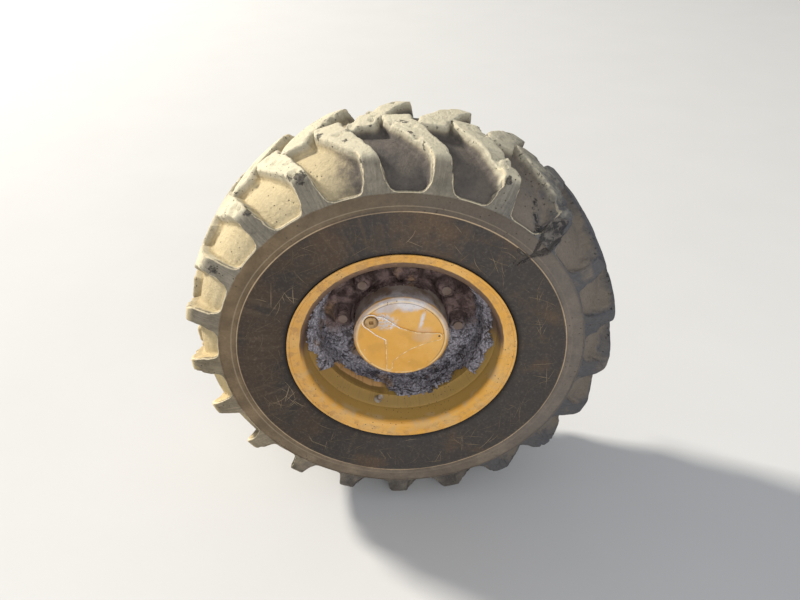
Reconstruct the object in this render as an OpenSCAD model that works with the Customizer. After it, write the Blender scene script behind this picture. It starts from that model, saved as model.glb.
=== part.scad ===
// Steered front wheel of a backhoe loader, on its hub and steering knuckle.
// The origin is where the steering axis (Z) crosses the wheel axis (Y).
// The wheel's outer face looks along -Y. Lengths are millimetres.
// Inside on_axle() local z runs outboard along the wheel axis and local y is up.

/* [Wheel place] */
// Steering axis to the tyre's centre plane
wheel_offset = 200; // [195:1:215]

/* [Tyre] */
// Radius over the worn lugs at the centre line
crown_r = 487; // [480:1:500]
// Widest point of the sidewall, from the centre plane
sidewall_half_w = 167; // [163:1:172]
// Depth of the grooves between lugs at the centre line
groove_depth = 25; // [15:1:30]
// Thickness of the casing under the tread
casing_t = 22; // [16:1:26]
// Outer edge of the band above the mould line, where the lugs' feet end
band_r = 399; // [392:1:404]
// Radius of the mould line, the inner edge of that band
mould_line_r = 361; // [350:1:370]
// Thickness of the sidewall
sidewall_t = 16; // [12:1:20]
// Lugs on each side of the tread
lug_count = 21; // [19:1:23]
// Place of one outer lug's shoulder, seen on the outer face
lug_phase = 10.6; // [0:0.1:17]

/* [Rim] */
// Radius of the bead seat, 18 inch nominal
bead_seat_r = 228.6; // [226:0.1:231]
// Height of the flange over the bead seat
flange_h = 27.4; // [25:0.1:30]
// Width between the flanges, 11 inch nominal
rim_w = 280; // [270:1:290]
// Thickness of the rim's steel
rim_t = 7.5; // [6:0.5:9]
// Width of a bead seat, from the flange to the well's slope
seat_w = 44; // [38:1:50]
// Depth of the well below the bead seat
well_depth = 21; // [15:1:26]
// Half the width of the well
well_half_w = 70; // [62:1:76]

/* [Disc and bolts] */
// Thickness of the wheel disc
disc_t = 14; // [10:1:16]
// How far the disc's outer part is dished inboard
disc_dish = 18; // [10:1:24]
// Pilot hole in the disc
pilot_r = 110.5; // [108:0.5:113]
// Bolt circle diameter
bolt_pcd = 275; // [268:1:282]
// Wheel bolts
bolt_count = 8; // [6:1:10]
// Place of one bolt, seen on the outer face
bolt_phase = -6.5; // [-22:0.5:22]
// Radius of a wheel stud
stud_r = 11; // [9:0.5:11.5]
// Wheel nut across its flats
nut_af = 32; // [30:1:36]
// Height of a wheel nut
nut_h = 22; // [18:1:24]

/* [Hub] */
// Hub cover face to the tyre's centre plane
cover_reach = 96; // [90:1:105]
// Thickness of the cover's flange, clamped between hub and disc
cover_flange_t = 12; // [10:1:16]
// How far the cover's cast pattern stands proud
pattern_h = 3; // [2:0.5:5]
// Radius of the hub flange behind the disc
hub_flange_r = 163; // [160:1:170]
// Thickness of the hub flange
hub_flange_t = 18; // [14:1:22]
// Radius of the spindle inside the hub
spindle_r = 50; // [45:1:55]
// Radial running clearance between hub and spindle
running_gap = 0.06; // [0.03:0.01:0.09]
// Bore of the spindle for the drive shaft
shaft_bore_r = 27; // [24:1:30]

/* [Knuckle] */
// Height of the ears' outer faces above and below the wheel axis
ear_reach = 132; // [128:1:140]
// Thickness of each ear
ear_t = 40; // [32:1:44]
// King pin bore in the ears
king_pin_r = 30; // [26:1:34]
// Bolt circle of a king pin flange
king_bolt_pcd = 92; // [88:1:96]
// Tapped hole for a king pin flange bolt
king_bolt_r = 6; // [5:0.5:6.5]
// Depth of a tapped hole
king_bolt_depth = 26; // [20:1:30]
// Radius of the knuckle's round face, where the spindle is bolted on
knuckle_face_r = 98; // [94:1:104]
// Face of the knuckle, outboard of the steering axis
knuckle_face = 62; // [60:1:66]
// Thickness of the knuckle's web
web_t = 28; // [24:0.5:29]
// Thickness of the spindle's flange
spindle_flange_t = 12; // [10:1:16]
// Bolts that hold the spindle
spindle_bolt_count = 8; // [6:1:10]
// Tie rod eye behind the steering axis
tie_eye_x = 150; // [140:1:170]
// Tie rod eye inboard of the steering axis
tie_eye_y = 62; // [50:1:75]
// Bore of the tie rod eye
tie_eye_r = 11; // [9:0.5:12]
// Top of the steering arm, below the wheel axis
arm_top = 15; // [10:1:24]
// Thickness of the steering arm
arm_t = 30; // [24:1:36]
// Radius of the steering stop bolt
stop_bolt_r = 8; // [6:0.5:9]
// How far the stop bolt stands out inboard
stop_reach = 26; // [18:1:34]

/* [Hidden] */
$fn = 64;
fit_gap = 0.2;
seal_gap = 0.5;

// Stations outboard of the steering axis
disc_face = wheel_offset + 2;
disc_back = disc_face - disc_t;
hub_face = disc_back - cover_flange_t;
hub_flange_back = hub_face - hub_flange_t;
cover_face = wheel_offset + cover_reach;
cover_floor = cover_face - pattern_h;
spindle_seat = knuckle_face + spindle_flange_t;
spindle_end = hub_face - 4;
seal_t = 12;
hub_inner_end = spindle_seat + seal_t;

// Tread
lug_pitch = 360 / lug_count;
groove_r = crown_r - groove_depth;
chamfer = 3;

// Rim
flange_r = bead_seat_r + flange_h;
flange_o = rim_w / 2;
lip_o = flange_o + 10;
curl_r = 9;
seat_bend_r = 12;
seat_drop = 2.4;
well_r = bead_seat_r - well_depth;
well_in_r = well_r - rim_t;
valve_angle = -107.7;
valve_hole_r = 8;

// Hub barrel, from the spindle's bore out to the flange
barrel_r = pilot_r + 2;
stud_head_r = stud_r + 4;
cover_r = pilot_r - 0.5;
rib_t = 12;

// Knuckle: the spindle's seat, the bosses round the king pins, the web and the stop bolt's place
seat_r = 40;
boss_r = king_bolt_pcd / 2 + 16;
fork_half_h = ear_reach - ear_t;
web_half_w = boss_r - 5;
stop_x = -web_half_w - 24;
stop_boss_y = web_t - knuckle_face + 4;

module on_axle() rotate([90, 0, 0]) children();
module at_centre_plane() on_axle() translate([0, 0, wheel_offset]) children();
module round_the_axle(count, r, phase = 0)
    for (i = [0 : count - 1]) rotate(phase + i * 360 / count) translate([r, 0, 0]) children();

// A revolved ring from an outline of [outboard, radius] points
module revolved(points) rotate_extrude($fn = 180) polygon([for (p = points) [p[1], p[0]]]);

function backwards(list) = [for (i = [len(list) - 1 : -1 : 0]) list[i]];

// One half's outline with its mirror image across the centre plane, where it ends
function both_sides(half) =
    concat(half, [for (i = [len(half) - 2 : -1 : 0]) [-half[i][0], half[i][1]]]);

// A closed outline between two such lines
function shell(outer, inner) = concat(both_sides(outer), backwards(both_sides(inner)));

// Points of an arc about [out, r], between two angles
function arc(out, r, radius, from, to, steps) =
    [for (i = [0 : steps]) let (a = from + (to - from) * i / steps)
        [out + radius * cos(a), r + radius * sin(a)]];

// A point at a radius and an angle round the axle, at an outboard place
function round_axle(r, angle, out) = [r * cos(angle), r * sin(angle), out];

// Lug of the outer side. Columns: outboard place, angle past the shoulder, half width and
// radius of the top, then outboard place, half width and radius of the buried base.
LUG = [
    [-27, 10.2, 29, crown_r - 1.5, -33, 35, groove_r - 6],
    [-19, 10.3, 31, crown_r,       -21, 38, groove_r - 6],
    [ 10,  9.6, 32, crown_r,        10, 39, groove_r - 6],
    [ 38,  7.5, 32, crown_r - 0.5,  38, 39, groove_r - 6],
    [ 75,  4.9, 27, crown_r - 3,    75, 35, groove_r - 10],
    [105,  2.6, 22, crown_r - 6,   104, 31, groove_r - 17],
    [128,  0.8, 19, crown_r - 9,   123, 28, groove_r - 28],
    [142,  0.0, 18, crown_r - 15,  135, 27, groove_r - 39],
    [153, -0.5, 19, crown_r - 33,  144, 27, groove_r - 56],
    [161, -0.8, 22, crown_r - 58,  151, 31, groove_r - 66],
    [165, -1.0, 31, band_r + 2,    160, 44, band_r - 8]
];
LUG_SIDES = 6;

// The corners of one row of the lug table: up one flank, over the top, down the other.
// The flank's upper point, a chamfer below the top, is four fifths of the way up.
function lug_corners(row) =
    let (flank_r = row[6] + 0.8 * (row[3] - row[6]), flank_o = row[4] + 0.8 * (row[0] - row[4]),
         line = [[row[5], row[6], row[4]], [row[2] + chamfer, flank_r, flank_o],
                 [row[2] - chamfer, row[3], row[0]]])
    [for (side = [-1, 1], i = side < 0 ? [0 : 2] : [2 : -1 : 0])
        round_axle(line[i][1], row[1] + side * line[i][0] / line[i][1] * 180 / PI, line[i][2])];

module lug() {
    corners = [for (row = LUG) each lug_corners(row)];
    n = LUG_SIDES;
    last = n * (len(LUG) - 1);
    sides = [for (i = [0 : n : last - 1], k = [0 : n - 1]) each
        let (a = i + k, b = i + (k + 1) % n) [[a, a + n, b + n], [a, b + n, b]]];
    ends = [for (k = [1 : n - 2]) each [[0, k, k + 1], [last + k + 1, last + k, last]]];
    polyhedron(corners, concat(sides, ends));
}

// Casing outline, one half from the bead toe out over the sidewall to the centre line
CASING = [
    [flange_o - seat_w + 4, bead_seat_r + 3], [flange_o - seat_w + 8, bead_seat_r - 1.4],
    [flange_o - 4, bead_seat_r + 0.8], [flange_o - 0.5, bead_seat_r + 6],
    [flange_o - 0.5, flange_r - 9], [flange_o + 0.3, flange_r - 5], [flange_o + 2.5, flange_r - 1.5],
    [flange_o + 5.5, flange_r + 0.8], [flange_o + 9, flange_r + 2],
    [sidewall_half_w - 14, flange_r + 7], [sidewall_half_w - 9, flange_r + 24],
    [sidewall_half_w - 4, (flange_r + mould_line_r) / 2],
    [sidewall_half_w - 1.5, mould_line_r - 9], [sidewall_half_w + 0.2, mould_line_r - 1],
    [sidewall_half_w - 1, mould_line_r + 3], [sidewall_half_w - 1.5, band_r - 3],
    [sidewall_half_w - 4, band_r], [sidewall_half_w - 14, band_r + 4],
    [sidewall_half_w - 29, groove_r - 32], [115, groove_r - 14], [80, groove_r - 4],
    [0, groove_r]
];

// Inner surface of the casing, the same way round
LINER = [
    [flange_o - seat_w + 4, bead_seat_r + 8], [flange_o - 22, flange_r - 10],
    [sidewall_half_w - 16 - sidewall_t, (flange_r + mould_line_r) / 2 - 18],
    [sidewall_half_w - 4 - sidewall_t, mould_line_r - 11],
    [sidewall_half_w - 10 - sidewall_t, band_r - 7],
    [116, groove_r - 17 - casing_t], [80, groove_r - 4 - casing_t], [0, groove_r - casing_t]
];

module tyre() color("#3b342e") at_centre_plane() {
    revolved(shell(CASING, LINER));
    for (i = [0 : lug_count - 1]) {
        rotate(lug_phase + i * lug_pitch) lug();
        rotate(lug_phase + (i + 0.5) * lug_pitch) mirror([0, 0, 1]) lug();
    }
}

// Outer side of the rim, from the flange's lip to the well, and its inner side
RIM_OUTER = concat(
    arc(flange_o + curl_r, flange_r - curl_r, curl_r, 84, 180, 4),
    [[flange_o, bead_seat_r + 6], [flange_o - 4, bead_seat_r],
     [flange_o - seat_w, bead_seat_r - seat_drop], [well_half_w, well_r], [0, well_r]]
);
RIM_INNER = concat(
    [[lip_o, flange_r - 5], [lip_o - 2, flange_r - 7]],
    arc(flange_o + rim_t - seat_bend_r, bead_seat_r - rim_t + seat_bend_r, seat_bend_r, 0, -90, 4),
    [[flange_o - seat_w - 3, bead_seat_r - seat_drop - rim_t],
     [well_half_w - 3, well_in_r], [0, well_in_r]]
);

// The valve stands square on the middle of the well's outer slope
slope_in_r = bead_seat_r - seat_drop - rim_t;
slope_o = (flange_o - seat_w + well_half_w) / 2 - 3;
slope_r = (slope_in_r + well_in_r) / 2;
slope_angle = atan2(slope_in_r - well_in_r, flange_o - seat_w - well_half_w);
module at_valve() at_centre_plane() rotate(valve_angle)
    translate([slope_r, 0, slope_o]) rotate([0, slope_angle - 90, 0]) children();

module rim() color("#c98f2c") difference() {
    at_centre_plane() revolved(shell(RIM_OUTER, RIM_INNER));
    at_valve() translate([0, 0, -2 * rim_t]) cylinder(r = valve_hole_r, h = 4 * rim_t);
}

// Rubber foot in the rim's hole, stem and cap
module valve_stem() color("#8a8578") at_valve() {
    translate([0, 0, -rim_t]) cylinder(r = valve_hole_r - fit_gap, h = rim_t + 3);
    translate([0, 0, 3]) cylinder(r1 = valve_hole_r + 1, r2 = 5, h = 5);
    translate([0, 0, 8]) cylinder(r = 4.5, h = 16);
    translate([0, 0, 24]) cylinder(r = 6, h = 10);
}

module wheel_disc() color("#b98a35") on_axle() difference() {
    revolved([
        [disc_back, pilot_r], [disc_face, pilot_r], [disc_face, hub_flange_r + 9],
        [disc_face - disc_dish, well_in_r - 6], [disc_face - disc_dish, well_in_r - fit_gap],
        [disc_back - disc_dish, well_in_r - fit_gap], [disc_back - disc_dish, well_in_r - 12],
        [disc_back, hub_flange_r + 3]
    ]);
    round_the_axle(bolt_count, bolt_pcd / 2, bolt_phase)
        translate([0, 0, disc_back - 1]) cylinder(r = stud_r + 0.9, h = disc_t + 2);
}

module wheel_studs() color("#6f6a62") on_axle()
    round_the_axle(bolt_count, bolt_pcd / 2, bolt_phase) {
        translate([0, 0, hub_flange_back - 8]) cylinder(r = stud_head_r, h = 8);
        translate([0, 0, hub_flange_back])
            cylinder(r = stud_r, h = disc_face + nut_h + 8 - hub_flange_back);
    }

module wheel_nuts() color("#7a6f60") on_axle()
    round_the_axle(bolt_count, bolt_pcd / 2, bolt_phase)
        translate([0, 0, disc_face]) difference() {
            intersection() {
                cylinder(r = nut_af / sqrt(3), h = nut_h, $fn = 6);
                cylinder(r1 = nut_af / 2 + nut_h, r2 = nut_af / 2 + 0.4, h = nut_h);
            }
            translate([0, 0, -1]) cylinder(r = stud_r + fit_gap, h = nut_h + 2);
        }

// A flat rib on a plane through the axle, from [radius, outboard] points
module radial_rib(points, t) rotate([90, 0, 0]) linear_extrude(t, center = true) polygon(points);

module hub() color("#9a7a3a") on_axle() difference() {
    union() {
        revolved([
            [hub_inner_end, spindle_r + running_gap], [hub_inner_end, spindle_r + 20],
            [hub_inner_end + 12, spindle_r + 26], [hub_flange_back - 42, barrel_r],
            [hub_flange_back - 4, barrel_r + 4], [hub_flange_back, barrel_r + 8],
            [hub_flange_back, hub_flange_r], [hub_face, hub_flange_r],
            [hub_face, spindle_r + running_gap]
        ]);
        round_the_axle(bolt_count, 0, bolt_phase + 180 / bolt_count)
            radial_rib([[barrel_r - 10, hub_flange_back - 44], [barrel_r + 4, hub_flange_back - 40],
                [hub_flange_r - 5, hub_flange_back], [hub_flange_r - 5, hub_flange_back + 2],
                [barrel_r - 10, hub_flange_back + 2]], rib_t);
    }
    round_the_axle(bolt_count, bolt_pcd / 2, bolt_phase)
        translate([0, 0, hub_flange_back - 1])
            cylinder(r = stud_r + fit_gap, h = hub_flange_t + 2);
}

// Cast pattern on the cover: three arms, of which the widest carries the oil plug
PLUG_AT = [-67, 50];
plug_r = 12;
ARM_ENDS = [[PLUG_AT, 21], [[83, 3], 11], [[-31, -84], 8]];
ARM_SIDES = [
    [-54, 66], [-38, 62], [-2, 32], [36, 17], [83, 13], [83, -7], [54, -16], [19, -32],
    [-5, -50], [-21, -66], [-24, -84], [-38, -84], [-37, -16], [-37, -2], [-60, 14], [-79, 34]
];

module hub_cover() color("#d49a2f") on_axle() difference() {
    union() {
        revolved([
            [hub_face, 0], [hub_face, hub_flange_r], [disc_back, hub_flange_r],
            [disc_back, cover_r], [cover_floor - 6, cover_r],
            [cover_floor - 1, cover_r - 4], [cover_floor, cover_r - 6], [cover_floor, 0]
        ]);
        translate([0, 0, cover_floor - 2]) linear_extrude(pattern_h + 2) {
            polygon(ARM_SIDES);
            for (end = ARM_ENDS) translate(end[0]) circle(r = end[1]);
        }
    }
    translate([PLUG_AT[0], PLUG_AT[1], cover_face - 16]) cylinder(r = plug_r, h = 17);
    round_the_axle(bolt_count, bolt_pcd / 2, bolt_phase)
        translate([0, 0, hub_face - 1]) cylinder(r = stud_r + fit_gap, h = cover_flange_t + 2);
}

module oil_plug() color("#a9772b") on_axle()
    translate([PLUG_AT[0], PLUG_AT[1], cover_face]) difference() {
        union() {
            translate([0, 0, -14]) cylinder(r = plug_r - fit_gap, h = 15);
            cylinder(r = plug_r + 2.5, h = 2);
        }
        translate([-5, -5, -6]) cube([10, 10, 9]);
    }

// Knuckle: a round face for the spindle on an upright web, with the steering arm and the stop
module knuckle() color("#7d6a42") difference() {
    union() {
        knuckle_web();
        steering_arm();
        stop_boss();
    }
    on_axle() cylinder(r = seat_r, h = knuckle_face + 1);
    translate([tie_eye_x, tie_eye_y, -arm_top - arm_t - 1]) cylinder(r = tie_eye_r, h = arm_t + 2);
    at_stop_bolt() translate([0, 0, -60]) cylinder(r = stop_bolt_r, h = 120);
}

// Upright web between the two ears
module knuckle_web() on_axle() translate([0, 0, knuckle_face - web_t]) linear_extrude(web_t) {
    square([2 * web_half_w, 2 * fork_half_h], center = true);
    intersection() {
        circle(r = knuckle_face_r, $fn = 96);
        square([2 * knuckle_face_r + 2, 2 * fork_half_h], center = true);
    }
}

// One ear, flush on the web's end: a round boss on the steering axis, with its way back to the face
module knuckle_ear() translate([0, 0, fork_half_h]) linear_extrude(ear_t) {
    circle(r = boss_r);
    polygon([[2 - boss_r, 6], [boss_r - 2, 6], [web_half_w, -knuckle_face],
             [-web_half_w, -knuckle_face]]);
}

module king_pin_ears() color("#7d6a42") difference() {
    for (side = [0, 1]) mirror([0, 0, side]) knuckle_ear();
    translate([0, 0, -ear_reach - 1]) cylinder(r = king_pin_r, h = 2 * ear_reach + 2);
    for (side = [0, 1]) mirror([0, 0, side])
        round_the_axle(4, king_bolt_pcd / 2, 45)
            translate([0, 0, ear_reach - king_bolt_depth])
                cylinder(r = king_bolt_r, h = king_bolt_depth + 1);
}

module steering_arm() translate([0, 0, -arm_top - arm_t]) linear_extrude(arm_t) {
    translate([tie_eye_x, tie_eye_y]) circle(r = tie_eye_r + 15);
    polygon([[tie_eye_x + 24, tie_eye_y - 8], [tie_eye_x - 20, tie_eye_y + 15],
             [86, web_t + 8 - knuckle_face], [web_half_w - 4, web_t - knuckle_face],
             [web_half_w - 4, 2 - knuckle_face], [112, 8 - knuckle_face]]);
}

// Stop bolt beside the web, on the other side from the arm
module at_stop_bolt()
    translate([stop_x, stop_boss_y, -arm_top - arm_t / 2]) rotate([-90, 0, 0]) children();
module stop_boss() translate([stop_x - 16, 2 - knuckle_face, -arm_top - arm_t])
    cube([48, stop_boss_y + knuckle_face - 2, arm_t]);

module spindle() color("#6b665d") on_axle() difference() {
    union() {
        translate([0, 0, knuckle_face - 16]) cylinder(r = seat_r - fit_gap, h = 17);
        translate([0, 0, knuckle_face]) cylinder(r = knuckle_face_r - 8, h = spindle_flange_t);
        translate([0, 0, knuckle_face]) cylinder(r = spindle_r, h = spindle_end - knuckle_face);
    }
    cylinder(r = shaft_bore_r, h = spindle_end + 10);
}

module spindle_bolts() color("#5f5a52") on_axle()
    round_the_axle(spindle_bolt_count, knuckle_face_r - 20)
        translate([0, 0, spindle_seat]) cylinder(r = 9, h = 8, $fn = 6);

// Lip seals: between the hub and the spindle's shoulder, and round the drive shaft
module hub_seal() color("#2b2a28") on_axle() difference() {
    translate([0, 0, spindle_seat]) cylinder(r = spindle_r + 14, h = seal_t - seal_gap);
    translate([0, 0, spindle_seat - 1]) cylinder(r = spindle_r + fit_gap, h = seal_t + 2);
}

module shaft_seal() color("#2b2a28") on_axle() translate([0, 0, knuckle_face - web_t + 2])
    difference() {
        cylinder(r = seat_r - fit_gap, h = web_t - 18 - seal_gap);
        translate([0, 0, -1]) cylinder(r = shaft_bore_r - 2, h = web_t);
    }

module stop_bolt() color("#5f5a52") at_stop_bolt() {
    translate([0, 0, -26]) cylinder(r = stop_bolt_r - fit_gap, h = 26 + stop_reach);
    translate([0, 0, stop_reach]) cylinder(r = stop_bolt_r + 5, h = 10, $fn = 6);
    cylinder(r = stop_bolt_r + 5, h = 8, $fn = 6);
}

tyre();
rim();
wheel_disc();
wheel_studs();
wheel_nuts();
hub();
hub_cover();
oil_plug();
valve_stem();
knuckle();
king_pin_ears();
spindle();
spindle_bolts();
hub_seal();
shaft_seal();
stop_bolt();
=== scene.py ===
"""Looks of a backhoe loader's front wheel: a muddy, worn lugged tyre on a yellow rim, hub and knuckle."""
import math

import bpy
import numpy as np
from mathutils import Matrix, Vector

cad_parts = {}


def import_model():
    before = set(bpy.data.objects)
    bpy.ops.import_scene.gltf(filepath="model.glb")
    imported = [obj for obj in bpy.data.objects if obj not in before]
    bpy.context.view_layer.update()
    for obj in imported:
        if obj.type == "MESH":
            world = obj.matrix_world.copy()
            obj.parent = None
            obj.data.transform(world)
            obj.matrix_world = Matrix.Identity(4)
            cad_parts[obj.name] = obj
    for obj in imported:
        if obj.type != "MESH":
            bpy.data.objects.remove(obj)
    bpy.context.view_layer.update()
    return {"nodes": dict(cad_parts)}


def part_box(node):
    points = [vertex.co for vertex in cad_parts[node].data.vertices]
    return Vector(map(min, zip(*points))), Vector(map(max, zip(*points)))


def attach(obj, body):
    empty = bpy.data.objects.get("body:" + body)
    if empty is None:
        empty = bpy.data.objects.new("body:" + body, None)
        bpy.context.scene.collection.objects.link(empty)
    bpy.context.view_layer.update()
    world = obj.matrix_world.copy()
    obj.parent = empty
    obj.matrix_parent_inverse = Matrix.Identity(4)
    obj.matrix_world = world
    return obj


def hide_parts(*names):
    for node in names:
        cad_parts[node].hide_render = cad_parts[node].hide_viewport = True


MM = 0.001
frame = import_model()
nodes = frame["nodes"]

# Main places, in metres, from the frame
TYRE_LOW, TYRE_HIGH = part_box("tyre")
RIM_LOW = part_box("rim")[0]
COVER_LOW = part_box("hub_cover")[0]
DISC_LOW, DISC_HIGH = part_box("wheel_disc")
PLUG_LOW, PLUG_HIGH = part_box("oil_plug")
PLUG = (PLUG_LOW + PLUG_HIGH) / 2
CENTRE_Y = (TYRE_LOW.y + TYRE_HIGH.y) / 2
FLOOR_Z = TYRE_LOW.z

# In millimetres, for the pieces made here: radii, and places outboard of the tyre's centre plane
WORN_OFF = 0.5
FLANGE_CURL = 10
CROWN_R = TYRE_HIGH.x / MM - WORN_OFF
FLANGE_O = (CENTRE_Y - RIM_LOW.y) / MM - FLANGE_CURL
DISC_O = (CENTRE_Y - DISC_LOW.y) / MM
WELL_R = DISC_HIGH.x / MM

# The photograph's frame and the fitted view: place from the wheel's centre, and angles
IMAGE_W = 800
SENSOR_W = 36.0
FOCAL_PX = 664.7
CAMERA_FROM_WHEEL = Vector((-0.003, -1.300, 0.941))
YAW, PITCH, ROLL = math.radians(0.12), math.radians(-34.64), math.radians(-1.83)


def camera():
    """Camera at the photograph's viewing angle."""
    data = bpy.data.cameras.new("camera")
    data.sensor_width = SENSOR_W
    data.lens = FOCAL_PX / IMAGE_W * data.sensor_width
    obj = bpy.data.objects.new("camera", data)
    bpy.context.scene.collection.objects.link(obj)
    forward = Vector((math.sin(YAW) * math.cos(PITCH), math.cos(YAW) * math.cos(PITCH), math.sin(PITCH)))
    right = Vector((math.cos(YAW), -math.sin(YAW), 0))
    up = right.cross(forward)
    rolled_right = right * math.cos(ROLL) + up * math.sin(ROLL)
    rolled_up = up * math.cos(ROLL) - right * math.sin(ROLL)
    turn = Matrix((rolled_right, rolled_up, -forward)).transposed().to_4x4()
    place = CAMERA_FROM_WHEEL + Vector((0, CENTRE_Y, 0))
    obj.matrix_world = Matrix.Translation(place) @ turn
    bpy.context.scene.camera = obj


def area_light(name, place, size, power, colour=(1, 1, 1)):
    """A square lamp that looks at the wheel's centre."""
    data = bpy.data.lights.new(name, "AREA")
    data.size = size
    data.energy = power
    data.color = colour
    obj = bpy.data.objects.new(name, data)
    bpy.context.scene.collection.objects.link(obj)
    obj.location = place
    forward = Vector((0, CENTRE_Y, 0)) - Vector(place)
    obj.rotation_euler = forward.to_track_quat("-Z", "Y").to_euler()


def world(light_strength, seen_colour):
    """Soft light from all round; the camera, gloss and glass see the pale background instead."""
    w = bpy.data.worlds.new("studio")
    bpy.context.scene.world = w
    w.use_nodes = True
    tree = w.node_tree
    tree.nodes.clear()
    out = tree.nodes.new("ShaderNodeOutputWorld")
    light = tree.nodes.new("ShaderNodeBackground")
    light.inputs["Color"].default_value = (0.93, 0.96, 1.0, 1)
    light.inputs["Strength"].default_value = light_strength
    seen = tree.nodes.new("ShaderNodeBackground")
    seen.inputs["Color"].default_value = (*seen_colour, 1)
    path = tree.nodes.new("ShaderNodeLightPath")
    either = None
    for ray in ("Is Camera Ray", "Is Glossy Ray", "Is Transmission Ray"):
        if either is None:
            either = path.outputs[ray]
            continue
        most = tree.nodes.new("ShaderNodeMath")
        most.operation = "MAXIMUM"
        tree.links.new(either, most.inputs[0])
        tree.links.new(path.outputs[ray], most.inputs[1])
        either = most.outputs[0]
    mix = tree.nodes.new("ShaderNodeMixShader")
    tree.links.new(either, mix.inputs[0])
    tree.links.new(light.outputs[0], mix.inputs[1])
    tree.links.new(seen.outputs[0], mix.inputs[2])
    tree.links.new(mix.outputs[0], out.inputs[0])


class Value:
    """A node's output. Plain arithmetic with it adds math nodes to its material."""

    def __init__(self, builder, socket):
        self.builder = builder
        self.socket = socket

    def __add__(self, other):
        return self.builder.math("ADD", self, other)

    def __sub__(self, other):
        return self.builder.math("SUBTRACT", self, other)

    def __rsub__(self, other):
        return self.builder.math("SUBTRACT", other, self)

    def __mul__(self, other):
        return self.builder.math("MULTIPLY", self, other)

    def __truediv__(self, other):
        return self.builder.math("DIVIDE", self, other)

    def __abs__(self):
        return self.builder.math("ABSOLUTE", self)


class Nodes:
    """A small builder for one material: its methods add nodes and return an output."""

    def __init__(self, name):
        self.material = bpy.data.materials.new(name)
        self.material.use_nodes = True
        self.tree = self.material.node_tree
        self.tree.nodes.clear()
        output = self.tree.nodes.new("ShaderNodeOutputMaterial")
        self.shader = self.tree.nodes.new("ShaderNodeBsdfPrincipled")
        self.tree.links.new(self.shader.outputs[0], output.inputs["Surface"])
        self.place = self.add("TexCoord", {}, "Object")

    def put(self, socket, value):
        """Links a value, or sets a plain number or colour, on an input."""
        if isinstance(value, Value):
            self.tree.links.new(value.socket, socket)
        elif isinstance(value, tuple) and socket.type == "RGBA":
            socket.default_value = (*value, 1)
        else:
            socket.default_value = value

    def add(self, kind, values, output=0, **settings):
        """Adds a node. Its inputs and its output go by name or number."""
        node = self.tree.nodes.new("ShaderNode" + kind)
        for key, setting in settings.items():
            setattr(node, key, setting)
        for key, value in values.items():
            self.put(node.inputs[key], value)
        return Value(self, node.outputs[output])

    def math(self, operation, *values):
        return self.add("Math", dict(enumerate(values)), operation=operation)

    def most(self, a, b):
        return self.math("MAXIMUM", a, b)

    def least(self, a, b):
        return self.math("MINIMUM", a, b)

    def length(self, x, z):
        return self.math("SQRT", x * x + z * z)

    def vector_math(self, operation, *values, output="Vector"):
        return self.add("VectorMath", dict(enumerate(values)), output, operation=operation)

    def vector(self, x, y, z):
        return self.add("CombineXYZ", {0: x, 1: y, 2: z})

    def noise(self, scale, detail=4.0, rough=0.55, vector=None, distortion=0.0):
        values = {"Scale": scale, "Detail": detail, "Roughness": rough, "Distortion": distortion}
        return self.add("TexNoise", {**values, "Vector": vector or self.place}, "Fac")

    def cells(self, scale, vector=None):
        """Distance to the nearest of many scattered points."""
        return self.add("TexVoronoi", {"Scale": scale, "Vector": vector or self.place}, "Distance")

    def warped(self, distance, scale):
        """The place, pushed about by noise, in metres."""
        noise = self.add("TexNoise", {"Scale": scale, "Vector": self.place}, "Color")
        push = self.vector_math("SUBTRACT", noise, (0.5, 0.5, 0.5))
        reach = (distance * 2, distance * 2, distance * 2)
        return self.vector_math("MULTIPLY_ADD", push, reach, self.place)

    def step(self, value, low, high):
        """0 below low, 1 above high, with soft ends; low may be the larger."""
        start, end = (1.0, 0.0) if low > high else (0.0, 1.0)
        span = {"From Min": min(low, high), "From Max": max(low, high), "To Min": start, "To Max": end}
        return self.add("MapRange", {"Value": value, **span}, interpolation_type="SMOOTHSTEP")

    def between(self, value, low, high, edge):
        """1 where value is between low and high, fading out over edge."""
        return self.step(value, low - edge, low + edge) * self.step(value, high + edge, high - edge)

    def mix(self, amount, a, b, mode="MIX"):
        return self.add("Mix", {0: amount, 6: a, 7: b}, 2, data_type="RGBA", blend_type=mode)

    def tones(self, value, low, high, a, b):
        """Colour a where value is below low, b above high."""
        return self.mix(self.step(value, low, high), a, b)

    def blend(self, amount, a, b):
        """Like mix, for plain numbers."""
        return self.add("Mix", {0: amount, 2: a, 3: b})

    def round_axle(self):
        """Outboard place from the tyre's centre, radius, and the direction round the axle."""
        split = self.tree.nodes.new("ShaderNodeSeparateXYZ")
        self.put(split.inputs[0], self.place)
        x, y, z = (Value(self, socket) for socket in split.outputs)
        radius = self.length(x, z)
        safe = self.most(radius, 0.001)
        return CENTRE_Y - y, radius, x / safe, z / safe

    def attribute(self, name):
        return self.add("Attribute", {}, "Fac", attribute_name=name)

    def bump(self, height, distance, strength):
        return self.add("Bump", {"Distance": distance, "Strength": strength, "Height": height})

    def finish(self, colour, roughness, normal=None, metallic=0.0, specular=0.5):
        """Sets the surface and returns the material."""
        values = {"Base Color": colour, "Roughness": roughness, "Metallic": metallic}
        values["Specular IOR Level"] = specular
        if normal is not None:
            values["Normal"] = normal
        for key, value in values.items():
            self.put(self.shader.inputs[key], value)
        return self.material


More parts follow.
